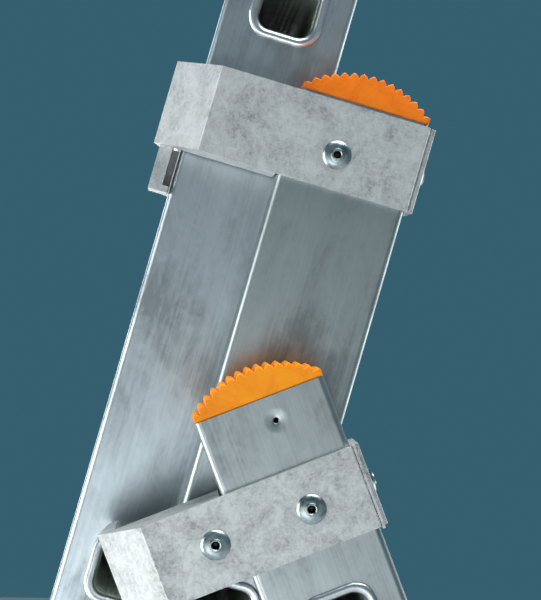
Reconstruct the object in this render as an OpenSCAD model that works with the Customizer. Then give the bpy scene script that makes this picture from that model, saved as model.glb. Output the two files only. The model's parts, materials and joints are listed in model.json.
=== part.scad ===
// Three-section aluminium combination ladder, standing as an A-frame with its
// upper section run out above the apex.
// World frame: X across the ladder, -Y the climbing side, Z up, floor at z = 0.
// Every section is drawn in its own frame and then tilted into place:
// X across, Y through the depth of the stiles (+Y to the rear), Z up along the
// stiles with z = 0 at their lower cut ends.

/* [Stiles] */
// Cut length of every stile
stile_length = 2628; // [2620:2:2660]
// Depth of the box section, front to rear
stile_depth = 61; // [60:0.5:62]
// Width of the box section, across the ladder
stile_width = 25; // [24:0.5:25]
// Wall of the box section
stile_wall = 2; // [1.6:0.1:2.4]
// Outside width over the base section's stiles
base_width = 480; // [440:2:520]
// Sideways gap between the stiles of neighbouring sections
side_gap = 3; // [3:0.2:3.6]
// Front-to-rear pitch of neighbouring sections
section_pitch = 46; // [46:0.5:46.5]

/* [Rungs] */
// Rungs in each section
rung_count = 9; // [9:1:9]
// Distance between rungs
rung_pitch = 280; // [276:1:282]
// Outside of the square rung tube
rung_size = 29; // [28:0.5:29]
// Wall of the rung tube
rung_wall = 1.3; // [1.2:0.1:1.8]
// Top rung below the top of the base stiles
base_top_rung = 107.9; // [106:0.1:110]
// Top rung below the top of the middle and upper stiles
inner_top_rung = 243.4; // [242:0.1:246]
// Height of an upper rung above the middle rung behind it
rung_step = 3; // [2.5:0.1:3.5]
// Rung pitches that the upper section is run out
pitches_out = 3; // [1:1:5]

/* [Apex] */
// Angle between the two legs when fully open
spread_angle = 36.85; // [36.5:0.05:37]
// Fold pin below the top of the base stiles
base_pin_drop = 88.6; // [88:0.2:90]
// Fold pin below the top of the middle stiles
middle_pin_drop = 226.7; // [226:0.1:228]
// Radius of the fold pin
fold_pin_r = 4; // [3:0.5:4]

/* [Brackets] */
// Height of the base guide bracket along the stile
base_bracket_height = 38; // [37:0.5:40]
// Height of the middle guide bracket along the stile
middle_bracket_height = 40; // [38:0.5:40]
// Thickness of the bracket castings
bracket_wall = 3.5; // [3:0.1:3.5]
// Overhang of the bracket's face in front of its own stile
bracket_overhang = 38; // [37:0.5:39]
// Distance of the base bracket below the top of its stile
base_bracket_drop = 33.4; // [32:0.1:35]
// Distance of the middle bracket below the top of its stile
middle_bracket_drop = 1.4; // [0:0.1:3]
// Length of the tongue below the right-hand middle bracket
tongue_length = 21; // [16:1:24]

/* [Caps and feet] */
// Radius of the toothed crown
crown_r = 46.7; // [46:0.1:50]
// Height of the crown's crest above the cut end of the stile
crown_height = 14.5; // [13:0.5:16]
// Depth of the teeth
tooth_depth = 2.5; // [1.5:0.1:3]
// Teeth on each crown
tooth_count = 13; // [12:1:16]
// Length of arc at each end of the crown up to its first valley
crown_land = 2.3; // [2:0.1:3]

/* [Straps] */
// Height of the spreader straps above the floor
strap_z = 1150; // [1130:5:1170]
// Width of the webbing
strap_width = 25; // [20:1:30]
// Thickness of the webbing
strap_thickness = 1.6; // [1.2:0.1:1.8]

/* [Hidden] */
SIDES = ["left", "right"];
RUNGS = [for (i = [1:rung_count]) str(i)];

aluminium = "#b7bfc6";
casting = "#b2b6b6";
orange = "#f27a12";
steel = "#98a3ab";
dark_plastic = "#2c2e31";
webbing = "#34393f";

// Outer faces of the three pairs of stiles
section_step = stile_width + side_gap;
base_x = base_width / 2;
middle_x = base_x - section_step;
upper_x = middle_x - section_step;

// Height of a rolled rung end above the stile
rim_height = 1.8;

// Rung heights along the stiles
base_bottom_rung = stile_length - base_top_rung - (rung_count - 1) * rung_pitch;
inner_bottom_rung = stile_length - inner_top_rung - (rung_count - 1) * rung_pitch;
upper_shift = pitches_out * rung_pitch + rung_step;

// Fold pin: the middle of the strip where the closed sections overlap
pin_u = section_pitch / 2;
base_pin_z = stile_length - base_pin_drop;
middle_pin_z = stile_length - middle_pin_drop;

// Crown outline: both feet stand on its arc, whose centre lies inside the stile.
crown_half = asin((stile_depth / 2 - 0.5) / crown_r);
crown_body_r = crown_r - tooth_depth;
crown_z = crown_r - crown_height;
crown_teeth = crown_half - crown_land / crown_r * 180 / PI;
tooth_angle = 2 * crown_teeth / tooth_count;
tooth_root = 0.05;
tooth_tip = 0.36;
collar_height = 3.3;
collar_half = stile_depth / 2 - 0.2;

// Tilt at which both feet stand level. The pin is radius * cos(lean) above each crown's
// centre, and the two leans add up to the apex angle.
base_reach = base_pin_z - crown_z;
middle_reach = middle_pin_z - crown_z;
base_radius = norm([base_reach, pin_u]);
middle_radius = norm([middle_reach, pin_u]);
base_skew = atan2(pin_u, base_reach);
middle_skew = atan2(pin_u, middle_reach);
apex_angle = spread_angle + base_skew + middle_skew;
base_lean = atan2(base_radius / middle_radius - cos(apex_angle), sin(apex_angle));
base_tilt = base_lean - base_skew;
middle_tilt = spread_angle - base_tilt;
pin_world_z = crown_r + base_radius * cos(base_lean);

// The feet reach equally far to the front and to the rear of the origin.
rear_reach = base_radius * sin(base_lean) + foot_reach(base_tilt);
front_reach = middle_radius * sin(apex_angle - base_lean) + foot_reach(middle_tilt);
pin_y = (front_reach - rear_reach) / 2;

// Furthest that a foot goes past its crown's centre, at the end of its arc or at the collar
function foot_reach(tilt) =
    max(
        crown_r * sin(crown_half + tilt),
        collar_half * cos(tilt) + (crown_z + collar_height) * sin(tilt)
    );

// Bracket outline, measured from the outer face of the stile that carries it
face_front = -stile_depth / 2 - bracket_overhang;
cheek_gap = 4.7;
cheek_inner = -section_pitch - stile_depth / 2 - cheek_gap;
cheek_thick = 8.5;
cheek_thin = 5;
cheek_start = 25;
cheek_end = 49.5;
cheek_lip = 0.9;
rear_wall = 3.7;
rear_overlap = 0.7;
rear_depth = 24;
rear_face = 1;

// Rivets
rivet_r = 2.4;
rivet_fit = 0.05;
rivet_head_r = 6.7;
rivet_head_h = 2.4;
rivet_hole_r = 1.8;
rivet_tail_r = 3.8;
base_rivets = [[-40.4, 52.4], [4.5, 52.9]];
middle_rivets = [[-6.9, 25.7]];
side_rivet_x = 12.5;
blind_grip = 6;
base_side_rivet = 52.4;
middle_side_rivet = 23.4;

// Drain hole pressed into the base stile
dimple_u = 3.8;
dimple_drop = 11.2;
dimple_r = 1.2;

// Hook on the foot of the upper section, round the middle rung behind it
hook_width = 10;
hook_rivets = [[-10, 36], [16, 36]];
hook_gap = 0.8;
latch_pin_u = 22;
latch_pin_z = -25;
latch_pin_r = 3;
latch_width = 6;

// Spreader straps: height along each leg at which they cross strap_z
strap_base_u = 8;
strap_middle_u = -6;
strap_x = middle_x + 0.3;
strap_bolt_r = 3;
middle_strap_seat = strap_x - middle_x + strap_thickness + 0.05;
base_strap_seat = base_x - stile_width - strap_x + 0.05;
base_strap_z = leg_z(strap_z, base_tilt, strap_base_u, -pin_u, base_pin_z);
middle_strap_z = leg_z(strap_z, -middle_tilt, strap_middle_u, pin_u, middle_pin_z);

function leg_z(height, tilt, u, pin, pin_along) =
    pin_along + (height - pin_world_z - (u - pin) * sin(tilt)) / cos(tilt);

// World point of a place on a leg, as [y, z]
function leg_point(tilt, u, z, pin, pin_along) = [
    pin_y + (u - pin) * cos(tilt) - (z - pin_along) * sin(tilt),
    pin_world_z + (u - pin) * sin(tilt) + (z - pin_along) * cos(tilt)
];

// Rounded rectangle about the origin, as a polygon with computed corner arcs
function rounded(w, h, r, steps = 4) = [
    for (q = [0:3], k = [0:steps])
        let (
            a = q * 90 + k * 90 / steps,
            sx = (q == 0 || q == 3) ? 1 : -1,
            sy = q < 2 ? 1 : -1
        )
        [sx * (w / 2 - r) + r * cos(a), sy * (h / 2 - r) + r * sin(a)]
];

// ---------- placing ----------

module base_section() {
    translate([0, pin_y, pin_world_z])
        rotate([base_tilt, 0, 0])
            translate([0, pin_u, -base_pin_z])
                children();
}

module middle_section() {
    translate([0, pin_y, pin_world_z])
        rotate([-middle_tilt, 0, 0])
            translate([0, -pin_u, -middle_pin_z])
                children();
}

module upper_section() {
    middle_section()
        translate([0, -section_pitch, upper_shift])
            children();
}

// Right-hand pieces are drawn; the left-hand ones mirror them.
module side(name) {
    if (name == "right") children();
    else mirror([1, 0, 0]) children();
}

module both_sides() {
    side("right") children();
    side("left") children();
}

// ---------- stiles and rungs ----------

module rung_holes(outer_x, bottom_rung) {
    for (i = [0:rung_count - 1])
        translate([outer_x - stile_width - 1, 0, bottom_rung + i * rung_pitch])
            rotate([90, 0, 90])
                linear_extrude(stile_width + 2)
                    polygon(rounded(rung_size + 0.1, rung_size + 0.1, 7.5));
}

module stile(outer_x, bottom_rung) {
    color(aluminium)
        difference() {
            translate([outer_x - stile_width / 2, 0, 0])
                linear_extrude(stile_length)
                    difference() {
                        polygon(rounded(stile_width, stile_depth, 3, 3));
                        square([stile_width - 2 * stile_wall, stile_depth - 2 * stile_wall], center = true);
                    }
            rung_holes(outer_x, bottom_rung);
            children();
        }
}

// Tube with its ends rolled over outside the stiles and swaged out inside them
module rung(outer_x, height) {
    bore = rung_size - 2 * rung_wall;
    swage = 1.4;
    inner_x = outer_x - stile_width;
    color(aluminium)
        translate([0, 0, height])
            rotate([90, 0, 90])
                difference() {
                    union() {
                        translate([0, 0, -outer_x - rim_height])
                            linear_extrude(2 * (outer_x + rim_height))
                                polygon(rounded(rung_size, rung_size, 7.5));
                        for (x = [-outer_x - rim_height, outer_x])
                            translate([0, 0, x])
                                linear_extrude(rim_height)
                                    polygon(rounded(35.6, 35.6, 9.8));
                        for (x = [-inner_x, inner_x - swage])
                            translate([0, 0, x])
                                linear_extrude(swage)
                                    polygon(rounded(rung_size + 4, rung_size + 4, 9));
                    }
                    translate([0, 0, -outer_x - rim_height - 1])
                        linear_extrude(2 * (outer_x + rim_height + 1))
                            polygon(rounded(bore, bore, 6.2));
                }
}

// ---------- brackets ----------

function cheek_outline() = [
    [rear_face, stile_depth / 2 + rear_wall],
    [-rear_depth, stile_depth / 2 + rear_wall],
    [-rear_depth, stile_depth / 2 + 0.1],
    [0, stile_depth / 2 + 0.1],
    [0, face_front + 1.5],
    [-cheek_start + 1, cheek_inner],
    [-cheek_end + 3, cheek_inner],
    [-cheek_end + 3, cheek_inner + cheek_lip],
    [-cheek_end, cheek_inner + cheek_lip],
    [-cheek_end, cheek_inner - cheek_thin],
    [-cheek_start, cheek_inner - cheek_thick],
    [bracket_wall, face_front],
    [bracket_wall, stile_depth / 2 + rear_overlap],
    [rear_face, stile_depth / 2 + rear_overlap]
];

// Rib that stiffens the face, from the cheek to just short of the stile
function rib_outline() = [
    [0.5, -stile_depth / 2 - 1],
    [0.5, face_front + 1],
    [-cheek_start + 0.5, cheek_inner - 0.5],
    [-rear_depth, cheek_inner - 0.5],
    [-rear_depth, -stile_depth / 2 - 1]
];

// Casting whose face lies on the stile and whose cheek wraps the next section
module bracket(outer_x, top_z, height, rivets, side_drop) {
    color(casting)
        translate([outer_x, 0, top_z])
            difference() {
                translate([0, 0, -height])
                    union() {
                        linear_extrude(height)
                            polygon(cheek_outline());
                        for (z = [0, height - bracket_wall])
                            translate([0, 0, z])
                                linear_extrude(bracket_wall)
                                    polygon(rib_outline());
                    }
                for (r = rivets)
                    translate([-1, r[0], r[1]])
                        rotate([0, 90, 0])
                            cylinder(h = bracket_wall + 2, r = rivet_r + rivet_fit, $fn = 32);
                translate([-side_rivet_x, stile_depth / 2 - 1, side_drop])
                    rotate([-90, 0, 0])
                        cylinder(h = rear_wall + 3, r = rivet_r + rivet_fit, $fn = 32);
            }
}

// Tongue that runs on below the middle bracket, with a web and a lip towards the upper stile
module tongue() {
    depth = cheek_end - rear_depth - 2;
    outer_u = cheek_inner - 5.4;
    reach = cheek_gap - 0.8;
    color(casting)
        translate([
            middle_x - cheek_end,
            0,
            stile_length - middle_bracket_drop - middle_bracket_height - tongue_length
        ])
            union() {
                translate([0, outer_u, 0])
                    cube([depth, 6.2, tongue_length + 1]);
                translate([0, cheek_inner, 0])
                    cube([depth, reach, 3]);
                translate([0, cheek_inner, 0])
                    cube([2.5, reach, tongue_length + 1]);
            }
}

module base_bracket() {
    bracket(
        base_x,
        stile_length - base_bracket_drop,
        base_bracket_height,
        [for (r = base_rivets) [r[0], base_bracket_drop - r[1]]],
        base_bracket_drop - base_side_rivet
    );
}

module middle_bracket() {
    bracket(
        middle_x,
        stile_length - middle_bracket_drop,
        middle_bracket_height,
        [for (r = middle_rivets) [r[0], middle_bracket_drop - r[1]]],
        middle_bracket_drop - middle_side_rivet
    );
}

// Sliding pad between the bracket's ribs, a millimetre off the next section
module guide_pad(outer_x, top_z, height, rivets) {
    pad_height = height - 2 * bracket_wall - 0.4;
    color(dark_plastic)
        difference() {
            translate([
                outer_x - section_step + rim_height + 0.5,
                face_front + 3.5,
                top_z - height + bracket_wall + 0.2
            ])
                cube([section_step - rim_height - 0.6, bracket_overhang - 6, pad_height]);
            for (r = rivets)
                translate([outer_x - section_step, r[0], top_z + r[1]])
                    rotate([0, 90, 0]) {
                        cylinder(h = section_step + 1, r = rivet_r + rivet_fit, $fn = 32);
                        cylinder(h = section_step - blind_grip + 0.5, r = rivet_tail_r + 0.1, $fn = 32);
                    }
        }
}

// ---------- rivets, screws and pins ----------

// Blind rivet along +X with its head's seat at the origin
module rivet(grip) {
    rotate([0, 90, 0])
        difference() {
            union() {
                cylinder(h = rivet_head_h, r1 = rivet_head_r, r2 = rivet_head_r - 2.6, $fn = 40);
                translate([0, 0, -grip])
                    cylinder(h = grip + 0.5, r = rivet_r, $fn = 32);
                translate([0, 0, -grip - 2])
                    cylinder(h = 2, r = rivet_tail_r, $fn = 24);
            }
            translate([0, 0, -1])
                cylinder(h = rivet_head_h + 2, r = rivet_hole_r, $fn = 24);
        }
}

module bracket_rivets(outer_x, rivets, side_drop) {
    for (r = rivets) {
        in_stile = abs(r[0]) < stile_depth / 2;
        translate([outer_x + bracket_wall, r[0], stile_length - r[1]])
            rivet(bracket_wall + (in_stile ? stile_wall : blind_grip));
    }
    translate([outer_x - side_rivet_x, stile_depth / 2 + rear_wall, stile_length - side_drop])
        rotate([0, 0, 90])
            rivet(rear_wall + stile_wall);
}

// Pin with a head inside the base stile and a collar inside the middle stile
module fold_pin() {
    head_x = base_x - stile_width + stile_wall;
    collar_x = middle_x - stile_width;
    color(steel)
        translate([0, -pin_u, base_pin_z])
            rotate([0, 90, 0]) {
                translate([0, 0, collar_x - 4])
                    cylinder(h = head_x - collar_x + 4.1, r = fold_pin_r, $fn = 48);
                translate([0, 0, head_x + 0.1])
                    cylinder(h = 3, r = fold_pin_r + 1.3, $fn = 48);
                translate([0, 0, collar_x - 4])
                    cylinder(h = 3.8, r = fold_pin_r + 3, $fn = 48);
            }
}

// Holes through one wall of a stile, at [u, z] places
module wall_holes(wall_x, places, r) {
    for (p = places)
        translate([wall_x - stile_wall - 1, p[0], p[1]])
            rotate([0, 90, 0])
                cylinder(h = stile_wall + 2, r = r + rivet_fit, $fn = 32);
}

module edge_hole(outer_x, z) {
    translate([outer_x - side_rivet_x, stile_depth / 2 - stile_wall - 1, z])
        rotate([-90, 0, 0])
            cylinder(h = stile_wall + 2, r = rivet_r + rivet_fit, $fn = 32);
}

// ---------- base section ----------

module base_stile(name) {
    base_section()
        side(name)
            stile(base_x, base_bottom_rung) {
                translate([base_x - stile_width - 1, -pin_u, base_pin_z])
                    rotate([0, 90, 0])
                        cylinder(h = stile_wall + 2, r = fold_pin_r + rivet_fit, $fn = 48);
                wall_holes(base_x, [[base_rivets[1][0], stile_length - base_rivets[1][1]]], rivet_r);
                wall_holes(base_x, [[dimple_u, stile_length - dimple_drop]], dimple_r);
                wall_holes(base_x - stile_width + stile_wall, [[strap_base_u, base_strap_z]], strap_bolt_r);
                edge_hole(base_x, stile_length - base_side_rivet);
            }
}

module base_rung(i) {
    base_section() rung(base_x, base_bottom_rung + (i - 1) * rung_pitch);
}

module base_bracket_on(name) {
    base_section() side(name) base_bracket();
}

module base_guide_pads() {
    top_z = stile_length - base_bracket_drop;
    hole = [base_rivets[0][0], base_bracket_drop - base_rivets[0][1]];
    base_section() both_sides() guide_pad(base_x, top_z, base_bracket_height, [hole]);
}

module base_fasteners() {
    color(steel)
        base_section()
            both_sides() {
                bracket_rivets(base_x, base_rivets, base_side_rivet);
                strap_screw(base_x - stile_width, strap_base_u, base_strap_z, -1, base_strap_seat);
            }
}

module fold_pins() {
    base_section() both_sides() fold_pin();
}

// ---------- middle section ----------

module middle_stile(name) {
    middle_section()
        side(name)
            stile(middle_x, inner_bottom_rung) {
                translate([middle_x - stile_width - 1, pin_u, middle_pin_z])
                    rotate([0, 90, 0])
                        cylinder(h = stile_width + 2, r = fold_pin_r + rivet_fit, $fn = 48);
                wall_holes(middle_x, [[middle_rivets[0][0], stile_length - middle_rivets[0][1]]], rivet_r);
                wall_holes(middle_x, [[strap_middle_u, middle_strap_z]], strap_bolt_r);
                edge_hole(middle_x, stile_length - middle_side_rivet);
            }
}

module middle_rung(i) {
    middle_section() rung(middle_x, inner_bottom_rung + (i - 1) * rung_pitch);
}

module middle_bracket_on(name) {
    middle_section()
        side(name) {
            middle_bracket();
            if (name == "right") tongue();
        }
}

module middle_guide_pads() {
    top_z = stile_length - middle_bracket_drop;
    middle_section() both_sides() guide_pad(middle_x, top_z, middle_bracket_height, []);
}

module middle_fasteners() {
    color(steel)
        middle_section()
            both_sides() {
                bracket_rivets(middle_x, middle_rivets, middle_side_rivet);
                strap_screw(middle_x, strap_middle_u, middle_strap_z, 1, middle_strap_seat);
            }
}

// ---------- upper section ----------

module upper_stile(name) {
    inner_wall = upper_x - stile_width + stile_wall;
    upper_section()
        side(name)
            stile(upper_x, inner_bottom_rung) {
                wall_holes(inner_wall, [for (r = hook_rivets) [r[0], inner_bottom_rung + r[1]]], rivet_r);
                wall_holes(inner_wall, [[latch_pin_u, inner_bottom_rung + latch_pin_z]], latch_pin_r);
            }
}

module upper_rung(i) {
    upper_section() rung(upper_x, inner_bottom_rung + (i - 1) * rung_pitch);
}

// Hook seen from the side: a plate on the stile, an arm over the rung, a lip behind it
function hook_outline() =
    let (
        half = rung_size / 2,
        seat = half - rung_step + hook_gap,
        rung_front = section_pitch - half - hook_gap,
        rung_rear = section_pitch + half + hook_gap,
        lip = 6
    ) [
        [-20, 19],
        [rung_front - 3, 19],
        [rung_front, 16],
        [rung_front, seat + 4],
        [rung_front + 4, seat],
        [rung_rear - 4, seat],
        [rung_rear, seat - 4],
        [rung_rear, -5],
        [rung_rear + lip - 2, -5],
        [rung_rear + lip, -2],
        [rung_rear + lip, seat + 6],
        [rung_rear - 2, seat + 15],
        [rung_front, seat + 20],
        [25, 48],
        [20, 52],
        [-15, 52],
        [-20, 47]
    ];

module rung_hook(name) {
    color(casting)
        upper_section()
            side(name)
                translate([upper_x - stile_width, 0, inner_bottom_rung])
                    difference() {
                        translate([-hook_width, 0, 0])
                            rotate([90, 0, 90])
                                linear_extrude(hook_width)
                                    polygon(hook_outline());
                        for (r = hook_rivets)
                            translate([-hook_width - 1, r[0], r[1]])
                                rotate([0, 90, 0])
                                    cylinder(h = hook_width + 2, r = rivet_r + rivet_fit, $fn = 32);
                    }
}

// Sprung finger that closes the hook's mouth below the middle rung
module hook_latch(name) {
    eye_r = 6.5;
    tip_u = 34;
    color(dark_plastic)
        upper_section()
            side(name)
                translate([
                    upper_x - stile_width - latch_width - 2,
                    latch_pin_u,
                    inner_bottom_rung + latch_pin_z
                ])
                    rotate([90, 0, 90])
                        difference() {
                            union() {
                                cylinder(h = latch_width, r = eye_r, $fn = 40);
                                linear_extrude(latch_width)
                                    polygon([
                                        [0, -eye_r + 0.3],
                                        [tip_u - 4, -4],
                                        [tip_u, -1],
                                        [tip_u, 2],
                                        [tip_u - 2, 4.5],
                                        [0, 4.5]
                                    ]);
                            }
                            translate([0, 0, -1])
                                cylinder(h = latch_width + 2, r = latch_pin_r + rivet_fit, $fn = 32);
                        }
}

module latch_pin() {
    translate([upper_x - stile_width - latch_width - 4.5, latch_pin_u, inner_bottom_rung + latch_pin_z])
        rotate([0, 90, 0]) {
            cylinder(h = 2, r = latch_pin_r + 1.6, $fn = 32);
            cylinder(h = latch_width + stile_wall + 6, r = latch_pin_r, $fn = 32);
            translate([0, 0, latch_width + stile_wall + 4.6])
                cylinder(h = 2, r = latch_pin_r + 1.6, $fn = 32);
        }
}

module upper_fasteners() {
    color(steel)
        upper_section()
            both_sides() {
                for (r = hook_rivets)
                    translate([upper_x - stile_width - hook_width, r[0], inner_bottom_rung + r[1]])
                        mirror([1, 0, 0])
                            rivet(hook_width + stile_wall);
                latch_pin();
            }
}

// ---------- caps and feet ----------

// Crown outline in the plane of the web, with the stile's cut end at y = 0
function crown_outline() =
    let (
        centre = crown_height - crown_r,
        root = tooth_root * tooth_angle,
        tip = tooth_tip * tooth_angle,
        teeth = [
            for (i = [0:tooth_count - 1])
                let (a = i * tooth_angle - crown_teeth)
                each [
                    [crown_body_r, a + root],
                    [crown_r, a + tip],
                    [crown_r, a + tooth_angle - tip],
                    [crown_body_r, a + tooth_angle - root]
                ]
        ],
        arc = concat(
            [[crown_r, -crown_half], [crown_r, -crown_teeth - tip], [crown_body_r, -crown_teeth - root]],
            teeth,
            [[crown_body_r, crown_teeth + root], [crown_r, crown_teeth + tip], [crown_r, crown_half]]
        )
    )
    concat(
        [[collar_half, 0], [-collar_half, 0], [-collar_half, collar_height]],
        [for (p = arc) [p[0] * sin(p[1]), centre + p[0] * cos(p[1])]],
        [[collar_half, collar_height]]
    );

// Plug that fills the end of a stile, with a toothed crown beyond the cut
module end_plug(outer_x) {
    plug_w = stile_width - 2 * stile_wall - 0.2;
    plug_d = stile_depth - 2 * stile_wall - 0.2;
    plug_len = 9;
    color(orange)
        translate([outer_x - stile_width / 2, 0, 0]) {
            rotate([90, 0, 90])
                translate([0, 0, -stile_width / 2 + 0.2])
                    linear_extrude(stile_width - 0.4)
                        polygon(crown_outline());
            translate([-plug_w / 2, -plug_d / 2, -plug_len])
                cube([plug_w, plug_d, plug_len + 0.5]);
        }
}

module cap(outer_x) {
    translate([0, 0, stile_length]) end_plug(outer_x);
}

module foot(outer_x) {
    mirror([0, 0, 1]) end_plug(outer_x);
}

// ---------- spreader straps ----------

// Screw whose head holds the webbing at a distance from the wall, with its nut inside
module strap_screw(wall_x, u, z, direction, seat) {
    translate([wall_x, u, z])
        rotate([0, direction * 90, 0]) {
            translate([0, 0, -stile_wall - 2.1])
                cylinder(h = 2, r = strap_bolt_r + 2.5, $fn = 6);
            translate([0, 0, -stile_wall - 2])
                cylinder(h = stile_wall + 2 + seat, r = strap_bolt_r, $fn = 32);
            translate([0, 0, seat])
                cylinder(h = 2, r = strap_bolt_r + 4, $fn = 32);
        }
}

module spreader_straps() {
    front = leg_point(-middle_tilt, strap_middle_u, middle_strap_z, pin_u, middle_pin_z);
    rear = leg_point(base_tilt, strap_base_u, base_strap_z, -pin_u, base_pin_z);
    end_margin = 11;
    color(webbing)
        both_sides()
            difference() {
                translate([strap_x, front[0] - end_margin, strap_z - strap_width / 2])
                    cube([strap_thickness, rear[0] - front[0] + 2 * end_margin, strap_width]);
                for (p = [front, rear])
                    translate([strap_x - 1, p[0], p[1]])
                        rotate([0, 90, 0])
                            cylinder(h = strap_thickness + 2, r = strap_bolt_r + rivet_fit, $fn = 32);
            }
}

// ---------- assembly ----------

for (s = SIDES) base_stile(s);
for (i = [1:rung_count]) base_rung(i);
for (s = SIDES) base_bracket_on(s);
for (s = SIDES) base_section() side(s) cap(base_x);
for (s = SIDES) base_section() side(s) foot(base_x);
base_guide_pads();
base_fasteners();
fold_pins();
for (s = SIDES) middle_stile(s);
for (i = [1:rung_count]) middle_rung(i);
for (s = SIDES) middle_bracket_on(s);
for (s = SIDES) middle_section() side(s) cap(middle_x);
for (s = SIDES) middle_section() side(s) foot(middle_x);
middle_guide_pads();
middle_fasteners();
for (s = SIDES) upper_stile(s);
for (i = [1:rung_count]) upper_rung(i);
for (s = SIDES) upper_section() side(s) cap(upper_x);
for (s = SIDES) upper_section() side(s) foot(upper_x);
for (s = SIDES) rung_hook(s);
for (s = SIDES) hook_latch(s);
upper_fasteners();
spreader_straps();
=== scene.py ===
import json
import math

import bmesh
import bpy
from mathutils import Matrix, Vector, noise


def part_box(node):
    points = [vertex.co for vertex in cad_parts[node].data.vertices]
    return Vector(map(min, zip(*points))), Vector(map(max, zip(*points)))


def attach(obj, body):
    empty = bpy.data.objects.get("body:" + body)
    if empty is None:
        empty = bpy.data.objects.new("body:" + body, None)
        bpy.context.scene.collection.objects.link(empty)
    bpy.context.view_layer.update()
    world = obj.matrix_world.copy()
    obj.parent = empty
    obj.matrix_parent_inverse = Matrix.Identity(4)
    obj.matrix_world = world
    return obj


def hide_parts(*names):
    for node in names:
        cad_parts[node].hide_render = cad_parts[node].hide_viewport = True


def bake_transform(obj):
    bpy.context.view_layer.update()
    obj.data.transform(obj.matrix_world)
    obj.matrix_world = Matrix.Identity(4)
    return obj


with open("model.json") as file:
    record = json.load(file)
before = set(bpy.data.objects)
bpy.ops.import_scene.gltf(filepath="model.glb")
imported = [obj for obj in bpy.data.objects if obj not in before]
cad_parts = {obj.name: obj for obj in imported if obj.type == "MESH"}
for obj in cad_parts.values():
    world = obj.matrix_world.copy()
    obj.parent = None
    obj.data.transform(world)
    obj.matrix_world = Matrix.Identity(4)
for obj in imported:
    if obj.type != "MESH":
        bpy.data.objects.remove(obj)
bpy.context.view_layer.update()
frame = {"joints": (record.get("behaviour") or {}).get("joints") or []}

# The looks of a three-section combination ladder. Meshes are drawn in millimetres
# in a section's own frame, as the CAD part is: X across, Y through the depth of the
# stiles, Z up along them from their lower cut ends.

MM = 0.001

# ---------- sizes, in millimetres ----------

STILE_LENGTH = 2628
STILE_DEPTH = 61
STILE_WIDTH = 25
STILE_WALL = 2
STILE_CORNER = 3
SECTION_STEP = 28
SECTION_PITCH = 46
BASE_X = 240
MIDDLE_X = BASE_X - SECTION_STEP
UPPER_X = MIDDLE_X - SECTION_STEP

RUNG_COUNT = 9
RUNG_PITCH = 280
RUNG_SIZE = 29
RUNG_CORNER = 7.5
RUNG_WALL = 1.3
RUNG_PLAY = 0.1
RUNG_GROOVES = 5
RUNG_STEP = 3
BASE_TOP_RUNG = 107.9
INNER_TOP_RUNG = 243.4
PITCHES_OUT = 3
BASE_BOTTOM_RUNG = STILE_LENGTH - BASE_TOP_RUNG - (RUNG_COUNT - 1) * RUNG_PITCH
INNER_BOTTOM_RUNG = STILE_LENGTH - INNER_TOP_RUNG - (RUNG_COUNT - 1) * RUNG_PITCH

DIMPLE_U = 3.8
DIMPLE_DROP = 11.2

PIN_U = SECTION_PITCH / 2
BASE_PIN_Z = STILE_LENGTH - 88.6
MIDDLE_PIN_Z = STILE_LENGTH - 226.7

BASE_BRACKET_HEIGHT = 38
MIDDLE_BRACKET_HEIGHT = 40
BRACKET_WALL = 3.5
BASE_BRACKET_DROP = 33.4
MIDDLE_BRACKET_DROP = 1.4
FACE_FRONT = -STILE_DEPTH / 2 - 38
CHEEK_GAP = 4.7
CHEEK_INNER = -SECTION_PITCH - STILE_DEPTH / 2 - CHEEK_GAP
CHEEK_START = 25
CHEEK_END = 49.5
REAR_WALL = 3.7
REAR_OVERLAP = 0.7
REAR_DEPTH = 24
SIDE_RIVET_X = 12.5
TONGUE_LENGTH = 21
BASE_RIVETS = [(-40.4, 52.4), (4.5, 52.9)]
MIDDLE_RIVETS = [(-6.9, 25.7)]
BASE_SIDE_RIVET = 52.4
MIDDLE_SIDE_RIVET = 23.4
RIVET_HOLE = 4.9

CROWN_R = 46.7
CROWN_HEIGHT = 14.5
CROWN_LAND = 2.3
TOOTH_DEPTH = 2.5
TOOTH_COUNT = 13
COLLAR_HEIGHT = 3.3
PLUG_LENGTH = 9

HOOK_WIDTH = 10
HOOK_RIVETS = [(-10, 36), (16, 36)]
LATCH_WIDTH = 6
LATCH_PIN_U = 22
LATCH_PIN_Z = INNER_BOTTOM_RUNG - 25

STRAP_X = MIDDLE_X + 0.3
STRAP_THICKNESS = 1.6
STRAP_WIDTH = 25
STRAP_END = 11

SIDES = ("left", "right")

# slots whose finish runs along the piece, so that it keeps its own coordinates
LENGTHWISE = ("stile", "rung")

# ---------- the sections' places, from the frame ----------

joints = {joint["name"]: joint for joint in frame["joints"]}
PIN = Vector(joints["leg_fold"]["pos_m"])
SPREAD = math.radians(joints["leg_fold"]["range_deg"][1])
MIDDLE_TILT = math.asin(joints["upper_slide"]["axis"][1])
BASE_TILT = SPREAD - MIDDLE_TILT


def shift(x, y, z):
    return Matrix.Translation(Vector((x, y, z)) * MM)


BASE = Matrix.Translation(PIN) @ Matrix.Rotation(BASE_TILT, 4, "X") @ shift(0, PIN_U, -BASE_PIN_Z)
MIDDLE = Matrix.Translation(PIN) @ Matrix.Rotation(-MIDDLE_TILT, 4, "X") @ shift(0, -PIN_U, -MIDDLE_PIN_Z)
UPPER = MIDDLE @ shift(0, -SECTION_PITCH, PITCHES_OUT * RUNG_PITCH + RUNG_STEP)

# name, outer face, lowest rung, place, body
SECTIONS = (
    ("base", BASE_X, BASE_BOTTOM_RUNG, BASE, "base_section"),
    ("middle", MIDDLE_X, INNER_BOTTOM_RUNG, MIDDLE, "middle_section"),
    ("upper", UPPER_X, INNER_BOTTOM_RUNG, UPPER, "upper_section"),
)

# ---------- camera ----------


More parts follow.
